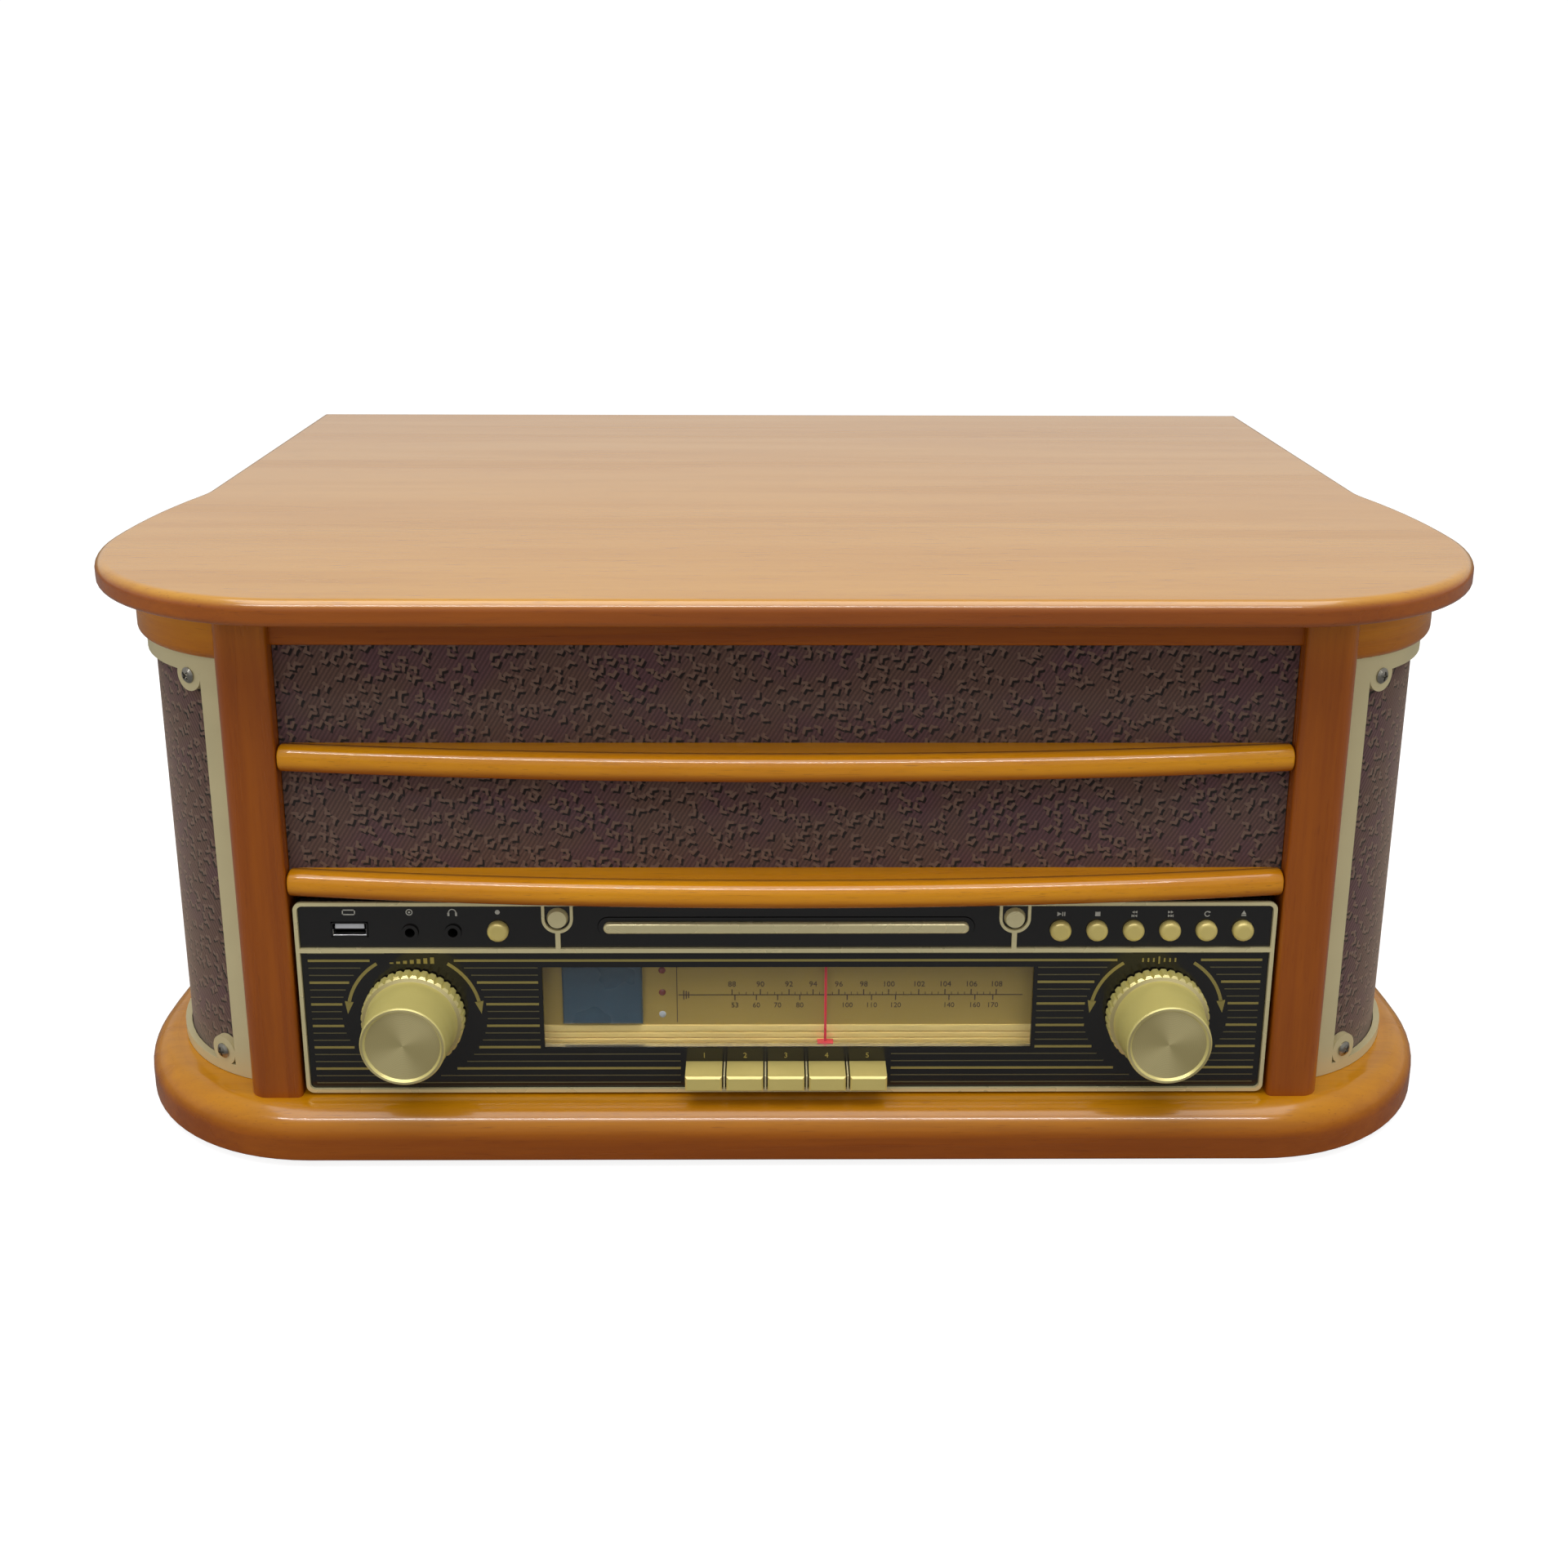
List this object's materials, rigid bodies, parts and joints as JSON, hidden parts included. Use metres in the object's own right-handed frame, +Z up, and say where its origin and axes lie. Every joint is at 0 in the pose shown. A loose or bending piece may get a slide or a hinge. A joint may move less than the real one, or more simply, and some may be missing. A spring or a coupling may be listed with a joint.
{
  "type": "record player",
  "caption": "Wooden tabletop music centre with a record player under a hinged lid, a disc drawer, a tuner dial, two knobs, piano keys and curved side speakers.",
  "frame": {"origin": "on the table, under the middle of the closed lid", "axes": "+X to the right seen from the front, +Y to the back, +Z up"},
  "size_m": [0.5158, 0.363, 0.2227],
  "materials": {
    "wood": "gloss lacquer",
    "inner_board": "bare board",
    "cloth": "woven with small flecks",
    "champagne": "satin champagne",
    "steel": "satin",
    "black_gloss": "gloss",
    "black_matte": "matte",
    "clear": "clear",
    "dial": "satin champagne",
    "display": "blue-grey",
    "red": "gloss red",
    "rubber": "matte",
    "circuit": "circuit board"
  },
  "bodies": {
    "case": {"base_board": "wood", "rubber_feet": "rubber", "front_pillars": "wood", "front_rails": "wood", "left_side": "wood", "right_side": "wood", "speaker_cloths": "cloth", "speaker_frames": "champagne", "panel_screws": "steel", "speakers": "black_matte", "front_grille": "inner_board", "fascia": "black_gloss", "fascia_trim": "champagne", "dial_window": "clear", "dial_plate": "dial", "display": "display", "front_sockets": "black_matte", "switch_bank": "black_matte", "circuit_boards": "circuit", "transformer": "steel", "disc_mechanism": "black_matte", "deck_plate": "black_matte", "motor": "steel", "spindle": "steel", "drive_belt": "rubber", "arm_base": "black_matte", "back_panel": "inner_board", "rear_sockets": "black_matte", "case_hardware": "steel"},
    "lid": {"lid_panel": "wood", "lid_hardware": "steel"},
    "stay": {"lid_stay": "steel"},
    "platter": {"platter": "black_matte", "platter_mat": "rubber"},
    "pulley": {"motor_pulley": "steel"},
    "yoke": {"arm_yoke": "steel"},
    "arm": {"tonearm": "steel", "counterweight": "steel", "headshell": "black_gloss"},
    "clip": {"rest_clip": "black_matte"},
    "cue": {"cue_lever": "black_matte"},
    "lifter": {"lift_bar": "black_matte"},
    "selector": {"speed_selector": "champagne"},
    "volume": {"volume_knob": "champagne"},
    "tuning": {"tuning_knob": "champagne"},
    "pointer": {"dial_pointer": "red"},
    "drawer": {"disc_drawer": "black_gloss", "drawer_bar": "champagne"},
    "record_button_body": {"record_button": "champagne"},
    "play_button_body": {"play_button": "champagne"},
    "stop_button_body": {"stop_button": "champagne"},
    "back_button_body": {"back_button": "champagne"},
    "forward_button_body": {"forward_button": "champagne"},
    "repeat_button_body": {"repeat_button": "champagne"},
    "eject_button_body": {"eject_button": "champagne"},
    "tuner_key_body": {"tuner_key": "champagne"},
    "disc_key_body": {"disc_key": "champagne"},
    "tape_key_body": {"tape_key": "champagne"},
    "phono_key_body": {"phono_key": "champagne"},
    "tone_key_body": {"tone_key": "champagne"}
  },
  "joints": [
    {"name": "lid_hinge", "type": "hinge", "parent": "case", "child": "lid", "pos_m": [0, 0.1737, 0.2121], "axis": [-1, 0, 0], "range_deg": [0, 60]},
    {"name": "stay_pivot", "type": "hinge", "parent": "case", "child": "stay", "pos_m": [0.214, 0.15, 0.18], "axis": [-1, 0, 0], "range_deg": [0, 60]},
    {"name": "platter_spin", "type": "hinge", "parent": "case", "child": "platter", "pos_m": [-0.045, 0.009, 0.16], "axis": [0, 0, -1], "continuous": true},
    {"name": "pulley_spin", "type": "hinge", "parent": "case", "child": "pulley", "pos_m": [-0.11288, 0.07688, 0.16], "axis": [0, 0, -1], "continuous": true},
    {"name": "arm_swing", "type": "hinge", "parent": "case", "child": "yoke", "pos_m": [0.15, 0.095, 0.195], "axis": [0, 0, -1], "range_deg": [0, 53]},
    {"name": "arm_lift", "type": "hinge", "parent": "yoke", "child": "arm", "pos_m": [0.15, 0.095, 0.195], "axis": [-1, 0, 0], "range_deg": [0, 8]},
    {"name": "cue_turn", "type": "hinge", "parent": "case", "child": "cue", "pos_m": [0.166, 0.048, 0.172], "axis": [-1, 0, 0], "range_deg": [-2, 52]},
    {"name": "lift_slide", "type": "slide", "parent": "case", "child": "lifter", "axis": [0, 0, 1], "range_m": [0, 0.0025]},
    {"name": "clip_turn", "type": "hinge", "parent": "case", "child": "clip", "pos_m": [0.1573, -0.055, 0.1965], "axis": [0, -1, 0], "range_deg": [0, 100]},
    {"name": "speed_slide", "type": "slide", "parent": "case", "child": "selector", "axis": [0, 1, 0], "range_m": [0, 0.012]},
    {"name": "volume_turn", "type": "hinge", "parent": "case", "child": "volume", "pos_m": [-0.138, -0.156, 0.0552], "axis": [0, 1, 0], "range_deg": [-150, 150]},
    {"name": "tuning_turn", "type": "hinge", "parent": "case", "child": "tuning", "pos_m": [0.138, -0.156, 0.0552], "axis": [0, 1, 0], "range_deg": [-429, 668]},
    {"name": "pointer_slide", "type": "slide", "parent": "case", "child": "pointer", "axis": [1, 0, 0], "range_m": [-0.045, 0.07]},
    {"name": "drawer_slide", "type": "slide", "parent": "case", "child": "drawer", "axis": [0, -1, 0], "range_m": [0, 0.122]},
    {"name": "record_button_push", "type": "slide", "parent": "case", "child": "record_button_body", "axis": [0, 1, 0], "range_m": [0, 0.0012], "stiffness_N_per_m": 300, "springref_m": -0.001},
    {"name": "play_button_push", "type": "slide", "parent": "case", "child": "play_button_body", "axis": [0, 1, 0], "range_m": [0, 0.0012], "stiffness_N_per_m": 300, "springref_m": -0.001},
    {"name": "stop_button_push", "type": "slide", "parent": "case", "child": "stop_button_body", "axis": [0, 1, 0], "range_m": [0, 0.0012], "stiffness_N_per_m": 300, "springref_m": -0.001},
    {"name": "back_button_push", "type": "slide", "parent": "case", "child": "back_button_body", "axis": [0, 1, 0], "range_m": [0, 0.0012], "stiffness_N_per_m": 300, "springref_m": -0.001},
    {"name": "forward_button_push", "type": "slide", "parent": "case", "child": "forward_button_body", "axis": [0, 1, 0], "range_m": [0, 0.0012], "stiffness_N_per_m": 300, "springref_m": -0.001},
    {"name": "repeat_button_push", "type": "slide", "parent": "case", "child": "repeat_button_body", "axis": [0, 1, 0], "range_m": [0, 0.0012], "stiffness_N_per_m": 300, "springref_m": -0.001},
    {"name": "eject_button_push", "type": "slide", "parent": "case", "child": "eject_button_body", "axis": [0, 1, 0], "range_m": [0, 0.0012], "stiffness_N_per_m": 300, "springref_m": -0.001},
    {"name": "tuner_key_push", "type": "slide", "parent": "case", "child": "tuner_key_body", "axis": [0, 1, 0], "range_m": [0, 0.004], "stiffness_N_per_m": 300, "springref_m": -0.002},
    {"name": "disc_key_push", "type": "slide", "parent": "case", "child": "disc_key_body", "axis": [0, 1, 0], "range_m": [0, 0.004], "stiffness_N_per_m": 300, "springref_m": -0.002},
    {"name": "tape_key_push", "type": "slide", "parent": "case", "child": "tape_key_body", "axis": [0, 1, 0], "range_m": [0, 0.004], "stiffness_N_per_m": 300, "springref_m": -0.002},
    {"name": "phono_key_push", "type": "slide", "parent": "case", "child": "phono_key_body", "axis": [0, 1, 0], "range_m": [0, 0.004], "stiffness_N_per_m": 300, "springref_m": -0.002},
    {"name": "tone_key_push", "type": "slide", "parent": "case", "child": "tone_key_body", "axis": [0, 1, 0], "range_m": [0, 0.004], "stiffness_N_per_m": 300, "springref_m": -0.002}
  ],
  "couplings": [
    {"joint": "stay_pivot", "follows": "lid_hinge", "ratio": 1},
    {"joint": "pulley_spin", "follows": "platter_spin", "ratio": 17},
    {"joint": "arm_lift", "follows": "lift_slide", "rad_per_m": 16.62},
    {"joint": "cue_turn", "follows": "lift_slide", "rad_per_m": 349.1},
    {"joint": "pointer_slide", "follows": "tuning_turn", "m_per_rad": 0.006}
  ]
}
